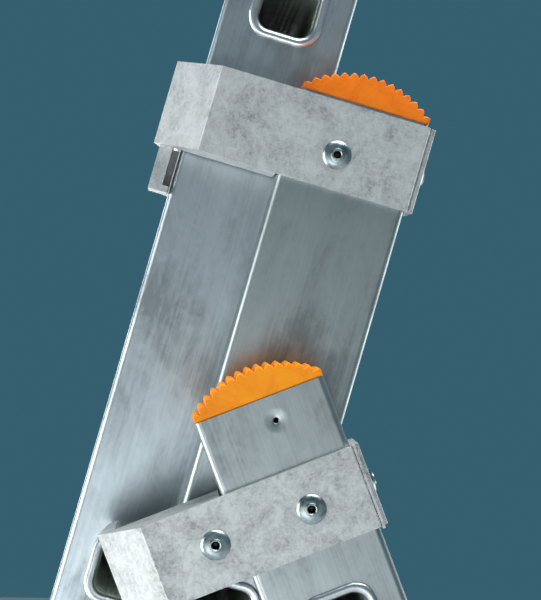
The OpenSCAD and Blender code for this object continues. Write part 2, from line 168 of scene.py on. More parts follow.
def make_camera():
    """Level with the apex, close to the outer face of the right-hand stiles."""
    data = bpy.data.cameras.new("camera")
    data.lens = 95.27
    data.sensor_width = 36
    camera = bpy.data.objects.new("camera", data)
    bpy.context.scene.collection.objects.link(camera)
    facing = Matrix(((0, 0, 1), (1, 0, 0), (0, 1, 0))).to_4x4()
    yaw = Matrix.Rotation(math.radians(-3.694), 4, "Z")
    pitch = Matrix.Rotation(math.radians(-0.164), 4, "X")
    roll = Matrix.Rotation(math.radians(2.506), 4, "X")
    place = Matrix.Translation((0.939, PIN.y - 0.0558, PIN.z + 0.1348))
    camera.matrix_world = place @ roll @ yaw @ facing @ pitch
    bpy.context.scene.camera = camera


# ---------- outlines ----------


def rounded(width, height, radius, steps=6):
    """Rounded rectangle about the origin, anticlockwise."""
    points = []
    for quarter in range(4):
        sx = 1 if quarter in (0, 3) else -1
        sy = 1 if quarter < 2 else -1
        for step in range(steps + 1):
            angle = math.radians(quarter * 90 + step * 90 / steps)
            points.append((
                sx * (width / 2 - radius) + radius * math.cos(angle),
                sy * (height / 2 - radius) + radius * math.sin(angle),
            ))
    return points


def fillet(corners, radius, steps=4):
    """The outline through these corners with each one rounded, as far as its edges allow."""
    points = []
    for index, corner in enumerate(corners):
        here = Vector(corner)
        back = Vector(corners[index - 1]) - here
        ahead = Vector(corners[(index + 1) % len(corners)]) - here
        half = back.angle(ahead) / 2
        if math.degrees(half) > 86:
            points.append(tuple(here))
            continue
        reach = min(radius / math.tan(half), 0.45 * back.length, 0.45 * ahead.length)
        bend = reach * math.tan(half)
        centre = here + (back.normalized() + ahead.normalized()).normalized() * bend / math.sin(half)
        start = here + back.normalized() * reach - centre
        end = here + ahead.normalized() * reach - centre
        turn = start.angle_signed(end)
        for step in range(steps + 1):
            angle = -turn * step / steps
            points.append((
                centre.x + start.x * math.cos(angle) - start.y * math.sin(angle),
                centre.y + start.x * math.sin(angle) + start.y * math.cos(angle),
            ))
    return points


# ---------- meshes ----------


def skin(rings, loop=False):
    """Closed mesh over rings of equally many points: a loop of rings, or a stack with two end faces."""
    made = bmesh.new()
    rows = [[made.verts.new(Vector(point) * MM) for point in ring] for ring in rings]
    count = len(rings[0])
    for index in range(len(rows) if loop else len(rows) - 1):
        low = rows[index]
        high = rows[(index + 1) % len(rows)]
        for k in range(count):
            n = (k + 1) % count
            made.faces.new((low[k], low[n], high[n], high[k]))
    if not loop:
        made.faces.new(rows[0][::-1])
        made.faces.new(rows[-1])
    return made


def across(outline, x):
    """An outline in the plane of the web, at x."""
    return [(x, point[0], point[1]) for point in outline]


def along(outline, z, x=0, y=0):
    """An outline in the cross-section of the stile, at z."""
    return [(point[0] + x, point[1] + y, z) for point in outline]


def upright(outline, z0, z1, x=0):
    return skin([along(outline, z0, x), along(outline, z1, x)])


def crossways(outline, x0, x1):
    return skin([across(outline, x0), across(outline, x1)])


def block(low, high):
    outline = [(low[0], low[1]), (high[0], low[1]), (high[0], high[1]), (low[0], high[1])]
    return upright(outline, low[2], high[2])


def turned(profile, segments=48):
    """Solid of revolution about +X; the profile's (x, radius) points run from axis to axis."""
    made = bmesh.new()
    ends = [made.verts.new((profile[k][0] * MM, 0, 0)) for k in (0, -1)]
    rows = []
    for x, radius in profile[1:-1]:
        angles = [2 * math.pi * k / segments for k in range(segments)]
        row = [(x, radius * math.cos(a), radius * math.sin(a)) for a in angles]
        rows.append([made.verts.new(Vector(point) * MM) for point in row])
    for k in range(segments):
        n = (k + 1) % segments
        made.faces.new((ends[0], rows[0][n], rows[0][k]))
        made.faces.new((ends[1], rows[-1][k], rows[-1][n]))
        for low, high in zip(rows, rows[1:]):
            made.faces.new((low[k], low[n], high[n], high[k]))
    return made


def moved(made, x=0, y=0, z=0, turn=None):
    """The same mesh, turned and then moved, in millimetres."""
    matrix = shift(x, y, z)
    if turn:
        matrix = matrix @ Matrix.Rotation(math.radians(turn[0]), 4, turn[1])
    made.transform(matrix)
    return made


def to_object(made, name):
    bmesh.ops.recalc_face_normals(made, faces=made.faces)
    mesh = bpy.data.meshes.new(name)
    made.to_mesh(mesh)
    made.free()
    thing = bpy.data.objects.new(name, mesh)
    bpy.context.scene.collection.objects.link(thing)
    return thing


def apply_modifiers(thing):
    graph = bpy.context.evaluated_depsgraph_get()
    mesh = bpy.data.meshes.new_from_object(thing.evaluated_get(graph))
    thing.modifiers.clear()
    thing.data = mesh


def combine(body, others, operation):
    """Object of the body with each other solid added to it or cut from it."""
    thing = to_object(body, "body")
    helpers = [to_object(other, "helper") for other in others]
    for helper in helpers:
        step = thing.modifiers.new("step", "BOOLEAN")
        step.operation = operation
        step.solver = "EXACT"
        step.object = helper
    apply_modifiers(thing)
    for helper in helpers:
        bpy.data.objects.remove(helper)
    return thing


def to_bmesh(thing):
    made = bmesh.new()
    made.from_mesh(thing.data)
    bpy.data.objects.remove(thing)
    return made


def union(body, others):
    return to_bmesh(combine(body, others, "UNION"))


def cut(body, others):
    return to_bmesh(combine(body, others, "DIFFERENCE"))


def bevelled(made, width, angle=40, segments=3):
    """The mesh with its sharp edges rounded."""
    thing = to_object(made, "sharp")
    step = thing.modifiers.new("edge", "BEVEL")
    step.width = width * MM
    step.segments = segments
    step.limit_method = "ANGLE"
    step.angle_limit = math.radians(angle)
    apply_modifiers(thing)
    return to_bmesh(thing)


def piece(name, made, place, body, slot, finish, nodes=(), mirrored=False, crease=32):
    """A finished piece of the object, riding on a body and standing for its CAD nodes."""
    made = made.copy()
    if mirrored:
        made.transform(Matrix.Scale(-1, 4, (1, 0, 0)))
    thing = to_object(made, name)
    mesh = thing.data
    for face in mesh.polygons:
        face.use_smooth = True
    mesh.set_sharp_from_angle(angle=math.radians(crease))
    for material in finish if isinstance(finish, tuple) else (finish,):
        mesh.materials.append(material)
    weight = thing.modifiers.new("flat faces", "WEIGHTED_NORMAL")
    weight.keep_sharp = True
    if slot in LENGTHWISE:
        thing.matrix_world = place
    else:
        mesh.transform(place)
    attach(thing, body)
    if nodes:
        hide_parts(*nodes)
    return thing


def both_sides(name, made, place, body, slot, finish, node=None, shared=None, crease=32):
    """A right-hand piece and its mirror image. Their CAD nodes are their own, or one shared node."""
    for side in SIDES:
        nodes = (shared,) if shared else (f"{node or name}_{side}",)
        piece(f"{name}_{side}", made, place, body, slot, finish, nodes, side == "left", crease)
    made.free()


# ---------- material nodes ----------


def add(tree, kind, inputs=None, **settings):
    made = tree.nodes.new(kind)
    for key, value in settings.items():
        setattr(made, key, value)
    for key, value in (inputs or {}).items():
        if isinstance(value, bpy.types.NodeSocket):
            tree.links.new(value, made.inputs[key])
        else:
            made.inputs[key].default_value = value
    return made


def new_material(name, metallic):
    made = bpy.data.materials.new(name)
    made.use_nodes = True
    shader = made.node_tree.nodes["Principled BSDF"]
    shader.inputs["Metallic"].default_value = metallic
    return made, made.node_tree, shader


def grain(tree, stretch, detail=4.0, roughness=0.6, distortion=0.0, seed=0.0):
    """Noise in the piece's own coordinates, with its scale per metre along each axis."""
    coordinates = add(tree, "ShaderNodeTexCoord").outputs["Object"]
    mapping = add(tree, "ShaderNodeMapping", {"Vector": coordinates, "Scale": stretch})
    mapping.inputs["Location"].default_value = (seed, seed * 1.7, seed * 0.6)
    settings = {
        "Vector": mapping.outputs["Vector"],
        "Scale": 1.0,
        "Detail": detail,
        "Roughness": roughness,
        "Distortion": distortion,
    }
    return add(tree, "ShaderNodeTexNoise", settings).outputs["Fac"]


def blend_of(tree, parts):
    """Weighted sum of values."""
    total = None
    for value, weight in parts:
        scaled = add(tree, "ShaderNodeMath", {0: value, 1: weight}, operation="MULTIPLY").outputs[0]
        if total is None:
            total = scaled
        else:
            total = add(tree, "ShaderNodeMath", {0: total, 1: scaled}, operation="ADD").outputs[0]
    return total


def ramp(tree, value, stops):
    made = add(tree, "ShaderNodeValToRGB", {"Fac": value})
    elements = made.color_ramp.elements
    while len(elements) < len(stops):
        elements.new(0.5)
    for element, (position, color) in zip(elements, stops):
        element.position = position
        element.color = (*color, 1)
    return made.outputs["Color"]


def spread_to(tree, value, low, high, start=0.3, end=0.7):
    settings = {"Value": value, "From Min": start, "From Max": end, "To Min": low, "To Max": high}
    return add(tree, "ShaderNodeMapRange", settings).outputs["Result"]


def relief(tree, shader, value, depth, strength=1.0):
    settings = {"Height": value, "Distance": depth * MM, "Strength": strength}
    bump = add(tree, "ShaderNodeBump", settings)
    tree.links.new(bump.outputs["Normal"], shader.inputs["Normal"])


def scaled(color, factor):
    return tuple(channel * factor for channel in color)


def drawn_aluminium(name, color, lengthwise, roughness):
    """Extruded aluminium: faint lines along one axis, cloudy smudges, and dull specks."""
    made, tree, shader = new_material(name, 1.0)
    fine = [900.0, 900.0, 900.0]
    broad = [70.0, 70.0, 70.0]
    fine[lengthwise] = 5.0
    broad[lengthwise] = 1.6
    lines = grain(tree, fine, 3.0, 0.7)
    bands = grain(tree, broad, 3.0, 0.55, 0.3, 4.0)
    smudges = grain(tree, (17.0, 17.0, 11.0), 5.0, 0.55, 0.9, 9.0)
    rubs = grain(tree, (75.0, 75.0, 38.0), 5.0, 0.6, 1.4, 15.0)
    specks = grain(tree, (420.0, 420.0, 300.0), 3.0, 0.7, 0.0, 2.0)
    tone = blend_of(tree, ((lines, 0.15), (bands, 0.13), (smudges, 0.4), (rubs, 0.24), (specks, 0.08)))
    stops = ((0.4, scaled(color, 0.6)), (0.5, color), (0.59, scaled(color, 1.2)))
    tree.links.new(ramp(tree, tone, stops), shader.inputs["Base Color"])
    dull = blend_of(tree, ((lines, 0.2), (smudges, 0.45), (rubs, 0.25), (specks, 0.1)))
    gloss = spread_to(tree, dull, roughness + 0.1, roughness - 0.05, 0.36, 0.64)
    tree.links.new(gloss, shader.inputs["Roughness"])
    relief(tree, shader, blend_of(tree, ((lines, 0.7), (specks, 0.3))), 0.04, 0.25)
    return made


def cast_aluminium(name, color, metallic=0.7):
    """Sand-textured casting with a finely mottled grey skin and darker stains."""
    made, tree, shader = new_material(name, metallic)
    mottle = grain(tree, (430.0, 430.0, 430.0), 6.0, 0.66, 0.6)
    stains = grain(tree, (80.0, 80.0, 80.0), 6.0, 0.66, 0.5, 5.0)
    pits = grain(tree, (1300.0, 1300.0, 1300.0), 3.0, 0.6, 0.0, 3.0)
    tone = blend_of(tree, ((mottle, 0.38), (stains, 0.44), (pits, 0.18)))
    stops = ((0.36, scaled(color, 0.48)), (0.46, scaled(color, 0.88)), (0.58, scaled(color, 1.17)))
    tree.links.new(ramp(tree, tone, stops), shader.inputs["Base Color"])
    tree.links.new(spread_to(tree, tone, 0.6, 0.44), shader.inputs["Roughness"])
    relief(tree, shader, blend_of(tree, ((mottle, 0.55), (pits, 0.45))), 0.12, 0.5)
    return made


def moulded_plastic(name, color, roughness, light, dark):
    """Moulded plastic with a fine satin grain and scuffed, slightly paler patches."""
    made, tree, shader = new_material(name, 0.0)
    shader.inputs["Specular IOR Level"].default_value = 0.3
    patches = grain(tree, (70.0, 70.0, 70.0), 5.0, 0.6, 0.6)
    texture = grain(tree, (1500.0, 1500.0, 1500.0), 2.0, 0.5, 0.0, 6.0)
    stops = ((0.36, dark), (0.5, color), (0.66, light))
    tone = blend_of(tree, ((patches, 0.8), (texture, 0.2)))
    tree.links.new(ramp(tree, tone, stops), shader.inputs["Base Color"])
    tree.links.new(spread_to(tree, patches, roughness - 0.06, roughness + 0.1), shader.inputs["Roughness"])
    relief(tree, shader, texture, 0.05, 0.4)
    return made


def zinc_steel(name, color, roughness):
    """Zinc-plated steel with faint clouding and fine turning marks."""
    made, tree, shader = new_material(name, 1.0)
    clouds = grain(tree, (260.0, 260.0, 260.0), 5.0, 0.6, 0.4)
    marks = grain(tree, (2200.0, 2200.0, 2200.0), 2.0, 0.5, 0.0, 7.0)
    tone = blend_of(tree, ((clouds, 0.75), (marks, 0.25)))
    stops = ((0.38, scaled(color, 0.7)), (0.52, color), (0.66, scaled(color, 1.2)))
    tree.links.new(ramp(tree, tone, stops), shader.inputs["Base Color"])
    tree.links.new(spread_to(tree, clouds, roughness - 0.06, roughness + 0.12), shader.inputs["Roughness"])
    relief(tree, shader, marks, 0.03, 0.3)
    return made


def webbing(name, color, thread_pitch):
    """Woven polyester: ribs across the strap and rows of yarn along it."""
    made, tree, shader = new_material(name, 0.0)
    coordinates = add(tree, "ShaderNodeTexCoord").outputs["Object"]
    waves = []
    for axis, share in (("Y", 1.0), ("Z", 1.6)):
        settings = {
            "Vector": coordinates,
            "Scale": share * 2 * math.pi / (20 * thread_pitch * MM),
            "Distortion": 0.4,
            "Detail": 1.0,
        }
        wave = add(tree, "ShaderNodeTexWave", settings, wave_type="BANDS", bands_direction=axis)
        waves.append(wave.outputs["Fac"])
    fuzz = grain(tree, (1400.0, 1400.0, 1400.0), 3.0, 0.7)
    fade = grain(tree, (40.0, 14.0, 40.0), 4.0, 0.6, 0.0, 3.0)
    weave = add(tree, "ShaderNodeMath", {0: waves[0], 1: waves[1]}, operation="MULTIPLY").outputs[0]
    tone = blend_of(tree, ((weave, 0.35), (fuzz, 0.25), (fade, 0.4)))
    stops = ((0.2, scaled(color, 0.5)), (0.42, color), (0.75, scaled(color, 1.9)))
    tree.links.new(ramp(tree, tone, stops), shader.inputs["Base Color"])
    tree.links.new(spread_to(tree, fuzz, 0.72, 0.9), shader.inputs["Roughness"])
    shader.inputs["Sheen Weight"].default_value = 0.3
    relief(tree, shader, blend_of(tree, ((weave, 0.8), (fuzz, 0.2))), 0.3, 0.8)
    return made


def floor_paint():
    made, tree, shader = new_material("floor", 0.0)
    tone = blend_of(tree, ((grain(tree, (0.7, 0.7, 0.7)), 0.6), (grain(tree, (35.0, 35.0, 35.0)), 0.4)))
    stops = ((0.4, (0.70, 0.715, 0.73)), (0.6, (0.76, 0.775, 0.79)))
    tree.links.new(ramp(tree, tone, stops), shader.inputs["Base Color"])
    tree.links.new(spread_to(tree, tone, 0.7, 0.85), shader.inputs["Roughness"])
    return made


# ---------- light ----------


def softbox(name, place, target, size, power, tint=(1, 1, 1), lit=None):
    """A soft lamp, flagged off from what its lit collection leaves out."""
    data = bpy.data.lights.new(name, "AREA")
    data.shape = "RECTANGLE"
    data.size, data.size_y = size
    data.energy = power
    data.color = tint
    light = bpy.data.objects.new(name, data)
    bpy.context.scene.collection.objects.link(light)
    direction = Vector(target) - Vector(place)
    light.matrix_world = Matrix.Translation(place) @ direction.to_track_quat("-Z", "Y").to_matrix().to_4x4()
    light.light_linking.receiver_collection = lit


def make_world():
    """A muted wall on the left of the ladder, and a room on its right that is brighter below."""
    world = bpy.data.worlds.new("studio")
    world.use_nodes = True
    tree = world.node_tree
    direction = add(tree, "ShaderNodeTexCoord").outputs["Generated"]
    parts = add(tree, "ShaderNodeSeparateXYZ", {"Vector": direction})
    tone = blend_of(tree, ((1.0, 0.3), (parts.outputs["X"], 0.35), (parts.outputs["Z"], -1.1)))
    wall = (0.036, 0.115, 0.16)
    dim_room = (0.092, 0.142, 0.15)
    bright_room = (0.7, 0.73, 0.74)
    stops = ((0.15, wall), (0.48, dim_room), (1.0, bright_room))
    tree.links.new(ramp(tree, tone, stops), tree.nodes["Background"].inputs["Color"])
    bpy.context.scene.world = world


def reach_of(name, floor, state):
    """What a lamp lights: all but the floor, or the floor alone."""
    made = bpy.data.collections.new(name)
    made.objects.link(floor)
    made.collection_objects[0].light_linking.link_state = state
    return made


def make_studio(floor):
    """Soft light from all round, strongest from low on the climbing side."""
    apex = Vector((0, PIN.y, PIN.z))
    # the low lamps stand close over the floor and would leave hard-edged pools of light on it,
    # so they light all but the floor, and it has a wash of its own from high up
    ladder_only = reach_of("ladder_only", floor, "EXCLUDE")
    floor_only = reach_of("floor_only", floor, "INCLUDE")
    # name, place from the apex, size, power, tint
    low_lamps = (
        ("key", (1.0, -3.4, -0.6), (2.6, 3.6), 160, (1, 0.99, 0.975)),
        ("front_fill", (4.2, -0.9, -1.5), (2.6, 1.6), 42, (0.97, 0.99, 1)),
        ("rear_fill", (-1.5, 3.8, -1.0), (3, 3), 90, (0.95, 0.98, 1)),
        ("left_fill", (-3.8, -1.5, 0.5), (3, 3), 110, (1, 1, 1)),
    )
    for name, offset, size, power, tint in low_lamps:
        softbox(name, apex + Vector(offset), apex, size, power, tint, ladder_only)
    softbox("overhead", apex + Vector((0.3, 0.6, 2.8)), apex, (2.5, 2.5), 150)
    softbox("floor_wash", (0, 0, 9), (0, 0, 0), (8, 8), 600, lit=floor_only)
    make_world()
    bpy.context.scene.view_settings.view_transform = "Standard"


# ---------- stiles and rungs ----------


def stile_mesh(outer_x, bottom_rung, dimple):
    """Box section with a rounded-square hole for each rung."""
    middle = outer_x - STILE_WIDTH / 2
    outer = rounded(STILE_WIDTH, STILE_DEPTH, STILE_CORNER)
    inner = rounded(STILE_WIDTH - 2 * STILE_WALL, STILE_DEPTH - 2 * STILE_WALL, 1)
    tube = skin([
        along(outer, 0, middle),
        along(outer, STILE_LENGTH, middle),
        along(inner, STILE_LENGTH, middle),
        along(inner, 0, middle),
    ], loop=True)
    hole_size = RUNG_SIZE + RUNG_PLAY
    hole = rounded(hole_size, hole_size, RUNG_CORNER)
    cutters = []
    for index in range(RUNG_COUNT):
        z = bottom_rung + index * RUNG_PITCH
        cutters.append(moved(crossways(hole, outer_x - STILE_WIDTH - 1, outer_x + 1), z=z))
    if dimple:
        cutters.append(moved(dimple_cutter(), outer_x, DIMPLE_U, STILE_LENGTH - DIMPLE_DROP))
    return cut(tube, cutters)


def dimple_cutter():
    """Shallow dish round a small drain hole, pressed into the web."""
    dish = [(-0.2 * (1 + math.cos(math.pi * r / 6)), r) for r in (6, 5.25, 4.5, 3.75, 3, 2.25)]
    return turned([(0.6, 0), (0.6, 6.1)] + dish + [(-0.45, 1.5), (-0.8, 1.2), (-3, 1.2), (-3, 0)], 40)


def rung_ring(x, half, corner, grooves, depth, wobble=0.0):
    """One ring of the rung tube: four flats with shallow grooves, and round corners."""
    flat = half - corner
    pitch = 2 * flat / grooves
    offsets = []
    for index in range(grooves):
        centre = -flat + (index + 0.5) * pitch
        for t, sunk in ((-0.34, 0), (-0.2, 1), (0.2, 1), (0.34, 0)):
            offsets.append((centre + t * pitch, half - sunk * depth))
    for step in range(7):
        angle = math.radians(step * 15)
        offsets.append((flat + corner * math.sin(angle), flat + corner * math.cos(angle)))
    points = []
    for quarter in range(4):
        cosine = (1, 0, -1, 0)[quarter]
        sine = (0, 1, 0, -1)[quarter]
        for t, out in offsets:
            y = out * cosine - t * sine
            z = out * sine + t * cosine
            dent = 1 + wobble * noise.noise(Vector((y * 0.16, z * 0.16, x * 0.05)))
            points.append((x, y * dent, z * dent))
    return points


def rung_mesh(outer_x):
    """Tube with its ends rolled over outside the stiles and swaged out inside them."""
    inner_x = outer_x - STILE_WIDTH
    half = RUNG_SIZE / 2
    bore = half - RUNG_WALL
    # distance from the outer face of the stile, half size, groove depth, unevenness
    rolled = [
        (-0.02, half, 0, 0), (0.02, 17.3, 0, 0.01), (0.35, 17.75, 0, 0.015), (0.9, 17.8, 0, 0.015),
        (1.35, 17.45, 0, 0.015), (1.68, 16.85, 0, 0.012), (1.8, 16.15, 0, 0.01), (1.76, 15.4, 0, 0.01),
        (1.5, 14.65, 0, 0.008), (1.0, 14.05, 0, 0.006), (0.2, 13.6, 0, 0.004), (-1.2, 13.3, 0.1, 0.002),
    ]
    swaged = [
        (-5, half, 0.45, 0), (-3.4, half + 0.15, 0.4, 0), (-2.2, half + 1, 0.2, 0), (-1.3, half + 1.8, 0, 0),
        (-0.5, half + 1.95, 0, 0), (-0.02, half + 1.6, 0, 0), (0, half, 0, 0),
    ]
    right = [(inner_x + x, size, depth, uneven) for x, size, depth, uneven in swaged]
    right += [(outer_x + x, size, depth, uneven) for x, size, depth, uneven in rolled]
    right.append((outer_x - 4, bore, 0.3, 0))
    stations = [(-x, size, depth, uneven) for x, size, depth, uneven in reversed(right)] + right
    rings = []
    for x, size, depth, uneven in stations:
        corner = RUNG_CORNER + (size - half) * 0.75
        rings.append(rung_ring(x, size, corner, RUNG_GROOVES, depth, uneven))
    made = skin(rings, loop=True)
    # the bore, left dull, is what the first and the last rows of faces close
    last = len(rings) - 1
    for index, face in enumerate(made.faces):
        face.material_index = int(index // len(rings[0]) in (0, last - 1, last))
    return made


def make_stiles_and_rungs():
    # the three sections' stiles are one aluminium, and their tones differ only by painted light: the upper
    # section's lighter tone is painted light from its brighter reflection, and the middle section's darker
    # tone is painted shade between the sections
    stile_finish = {
        "base": drawn_aluminium("stile_base", (0.39, 0.43, 0.44), 2, 0.36),
        "middle": drawn_aluminium("stile_middle_painted_shade", (0.34, 0.386, 0.396), 2, 0.38),
        "upper": drawn_aluminium("stile_upper_painted_light", (0.465, 0.524, 0.556), 2, 0.36),
    }
    rung_finish = (
        drawn_aluminium("rung", (0.60, 0.64, 0.66), 0, 0.33),
        cast_aluminium("rung_bore", (0.52, 0.57, 0.51), 0.15),
    )
    for name, outer_x, bottom_rung, place, body in SECTIONS:
        stile = stile_mesh(outer_x, bottom_rung, name == "base")
        both_sides(f"{name}_stile", stile, place, body, "stile", stile_finish[name], crease=30)
        rung = rung_mesh(outer_x)
        for index in range(RUNG_COUNT):
            spot = place @ shift(0, 0, bottom_rung + index * RUNG_PITCH)
            full_name = f"{name}_rung_{index + 1}"
            piece(full_name, rung, spot, body, "rung", rung_finish, (full_name,), crease=50)
        rung.free()


# ---------- brackets, pads and rivets ----------


def cheek_outline():
    """Section through a bracket, from the outer face of its stile."""
    rear = STILE_DEPTH / 2
    return fillet([
        (1, rear + REAR_WALL),
        (-REAR_DEPTH, rear + REAR_WALL),
        (-REAR_DEPTH, rear + 0.1),
        (0, rear + 0.1),
        (0, FACE_FRONT + 1.5),
        (-CHEEK_START + 1, CHEEK_INNER),
        (-CHEEK_END + 3, CHEEK_INNER),
        (-CHEEK_END + 3, CHEEK_INNER + 0.9),
        (-CHEEK_END, CHEEK_INNER + 0.9),
        (-CHEEK_END, CHEEK_INNER - 4.1),
        (-CHEEK_START, CHEEK_INNER - 8.5),
        (BRACKET_WALL, FACE_FRONT),
        (BRACKET_WALL, rear + REAR_OVERLAP),
        (1, rear + REAR_OVERLAP),
    ], 0.9)


def rivet_hole(x0, x1):
    """Cutter for the hole of a rivet along X."""
    return crossways(rounded(RIVET_HOLE, RIVET_HOLE, RIVET_HOLE / 2 - 0.05), x0, x1)


def bracket_mesh(outer_x, top_z, height, rivets, side_rivet, tongue):
    """Casting round a stile that reaches over the stile before it, with a rib at each end."""
    bottom_z = top_z - height
    body = upright(cheek_outline(), bottom_z, top_z, outer_x)
    extras = []
    for z in (bottom_z, top_z - BRACKET_WALL):
        rib = [
            (0.5, -STILE_DEPTH / 2 - 1),
            (0.5, FACE_FRONT + 1),
            (-REAR_DEPTH + 0.6, CHEEK_INNER - 1.2),
            (-REAR_DEPTH + 0.6, -STILE_DEPTH / 2 - 1),
        ]
        extras.append(upright(rib, z + 0.02, z + BRACKET_WALL - 0.02, outer_x))
    if tongue:
        low_z = bottom_z - TONGUE_LENGTH
        outer_wall = CHEEK_INNER - 5.4
        inner_end = outer_x - REAR_DEPTH - 2
        start = outer_x - CHEEK_END + 0.03
        extras.append(block((start, outer_wall, low_z), (inner_end, outer_wall + 6.2, bottom_z + 1)))
        # a lip across the tongue's lower end, and one down its inner edge
        lip = CHEEK_INNER + CHEEK_GAP - 0.8
        extras.append(block((start, CHEEK_INNER, low_z), (inner_end, lip, low_z + 3)))
        extras.append(block((start, CHEEK_INNER, low_z), (start + 2.5, lip, bottom_z + 1)))
    joined = bevelled(union(body, extras), 0.8)
    rear = STILE_DEPTH / 2
    # a step along the rear edge of the face, and the rivets' holes
    holes = [block(
        (outer_x - 0.6, rear + REAR_OVERLAP, bottom_z - 1),
        (outer_x + BRACKET_WALL, rear + REAR_OVERLAP + 1.1, top_z + 1),
    )]
    for u, drop in rivets:
        hole = rivet_hole(outer_x - 1, outer_x + BRACKET_WALL + 1)
        holes.append(moved(hole, y=u, z=STILE_LENGTH - drop))
    hole = moved(rivet_hole(-1, REAR_WALL + 2), turn=(90, "Z"))
    holes.append(moved(hole, outer_x - SIDE_RIVET_X, rear, STILE_LENGTH - side_rivet))
    return cut(joined, holes)


def pad_mesh(outer_x, top_z, height):
    """Sliding pad between a bracket's ribs, with wear grooves on its face."""
    low = (outer_x - SECTION_STEP + 2.3, FACE_FRONT + 3.5, top_z - height + BRACKET_WALL + 0.2)
    high = (outer_x - 0.1, FACE_FRONT + 34.5, top_z - BRACKET_WALL - 0.2)
    grooves = []
    for share in (0.25, 0.5, 0.75):
        z = low[2] + share * (high[2] - low[2])
        grooves.append(block((low[0] - 1, low[1] - 1, z - 0.8), (low[0] + 0.9, high[1] + 1, z + 0.8)))
    return cut(bevelled(block(low, high), 1.2), grooves)


def rivet_mesh(grip):
    """Blind rivet along +X: domed flange, raised ring, hollow with the broken mandrel in it."""
    hollow = [(-1.4, 0), (-1.4, 0.85), (-1.7, 1.2), (-1.9, 1.7), (1.5, 1.75)]
    head = [
        (2.1, 1.85), (2.36, 2.1), (2.42, 2.45), (2.3, 2.75), (1.95, 2.95), (1.8, 3.5), (1.72, 4.2),
        (1.5, 5.0), (1.15, 5.8), (0.7, 6.4), (0.28, 6.7), (0.03, 6.6), (0.02, 2.4),
    ]
    tail = [(-grip, 2.4), (-grip - 0.2, 3.7), (-grip - 1, 3.8), (-grip - 2, 3.2), (-grip - 2, 0)]
    made = turned(hollow + head + tail)
    for face in made.faces:
        centre = face.calc_center_median() / MM
        # faces inside the hollow take the near-black second finish, which is painted shade
        face.material_index = int(-2 < centre.x < 1.9 and math.hypot(centre.y, centre.z) < 1.76)
    return made


def make_rivets(name, outer_x, rivets, side_rivet, place, body, finish):
    for index, (u, drop) in enumerate(rivets):
        in_stile = abs(u) < STILE_DEPTH / 2
        rivet = rivet_mesh(BRACKET_WALL + (STILE_WALL if in_stile else 6))
        rivet = moved(rivet, outer_x + BRACKET_WALL, u, STILE_LENGTH - drop)
        full_name = f"{name}_rivet_{index + 1}"
        both_sides(full_name, rivet, place, body, "rivet", finish, shared=f"{name}_fasteners")
    rivet = moved(rivet_mesh(REAR_WALL + STILE_WALL), turn=(90, "Z"))
    rivet = moved(rivet, outer_x - SIDE_RIVET_X, STILE_DEPTH / 2 + REAR_WALL, STILE_LENGTH - side_rivet)
    both_sides(f"{name}_side_rivet", rivet, place, body, "rivet", finish, shared=f"{name}_fasteners")


def make_brackets(steel, dark):
    casting = cast_aluminium("casting", (0.555, 0.57, 0.567))
    # name, drop of the top, height, rivets, side rivet
    settings = (
        ("base", BASE_BRACKET_DROP, BASE_BRACKET_HEIGHT, BASE_RIVETS, BASE_SIDE_RIVET),
        ("middle", MIDDLE_BRACKET_DROP, MIDDLE_BRACKET_HEIGHT, MIDDLE_RIVETS, MIDDLE_SIDE_RIVET),
    )
    for (name, drop, height, rivets, side_rivet), section in zip(settings, SECTIONS):
        _, outer_x, _, place, body = section
        top_z = STILE_LENGTH - drop
        for side in SIDES:
            tongue = name == "middle" and side == "right"
            bracket = bracket_mesh(outer_x, top_z, height, rivets, side_rivet, tongue)
            full_name = f"{name}_bracket_{side}"
            piece(full_name, bracket, place, body, "casting", casting, (full_name,), side == "left", 38)
            bracket.free()
        pad = pad_mesh(outer_x, top_z, height)
        both_sides(f"{name}_guide_pad", pad, place, body, "pad", dark, shared=f"{name}_guide_pads")
        make_rivets(name, outer_x, rivets, side_rivet, place, body, steel)
    return casting


# ---------- caps and feet ----------


def crown_outline(inset):
    """Toothed crown over a short collar, drawn in by the inset."""
    half_angle = math.asin((STILE_DEPTH / 2 - 0.5) / CROWN_R)
    toothed = half_angle - CROWN_LAND / CROWN_R
    half_tooth = toothed / TOOTH_COUNT
    centre = CROWN_HEIGHT - CROWN_R
    collar = STILE_DEPTH / 2 - 0.2 - inset
    steps = 6 * 2 * (TOOTH_COUNT + 1)
    points = [(collar, inset), (-collar, inset), (-collar, COLLAR_HEIGHT)]
    for index in range(steps + 1):
        angle = half_angle * (2 * index / steps - 1)
        # 0 on a tooth's tip, 1 in a valley
        share = abs(((angle + toothed) / half_tooth) % 2 - 1)
        if abs(angle) > toothed:
            share = max(0.0, 1 - (abs(angle) - toothed) / half_tooth)
        scallop = 1 - math.sqrt(1 - 0.96 * share * share)
        to_end = (half_angle - abs(angle)) * CROWN_R
        radius = CROWN_R - TOOTH_DEPTH * (share + scallop) / 2 - inset - 0.4 * max(0.0, 1 - to_end) ** 2
        points.append((radius * math.sin(angle), centre + radius * math.cos(angle)))
    points.append((collar, COLLAR_HEIGHT))
    return points


def plug_mesh(outer_x):
    """Crown that closes the end of a stile, with the plug that holds it."""
    left = outer_x - STILE_WIDTH + 0.2
    right = outer_x - 0.2
    edge = ((0, 0.9), (0.12, 0.5), (0.45, 0.15), (0.9, 0))
    stations = [(left + x, inset) for x, inset in edge]
    stations += [(right - x, inset) for x, inset in reversed(edge)]
    crown = skin([across(crown_outline(inset), x) for x, inset in stations])
    plug_x = outer_x - STILE_WIDTH / 2
    outline = rounded(STILE_WIDTH - 2 * STILE_WALL - 0.2, STILE_DEPTH - 2 * STILE_WALL - 0.2, 1.2, 3)
    return union(crown, [upright(outline, -PLUG_LENGTH, 0.6, plug_x)])


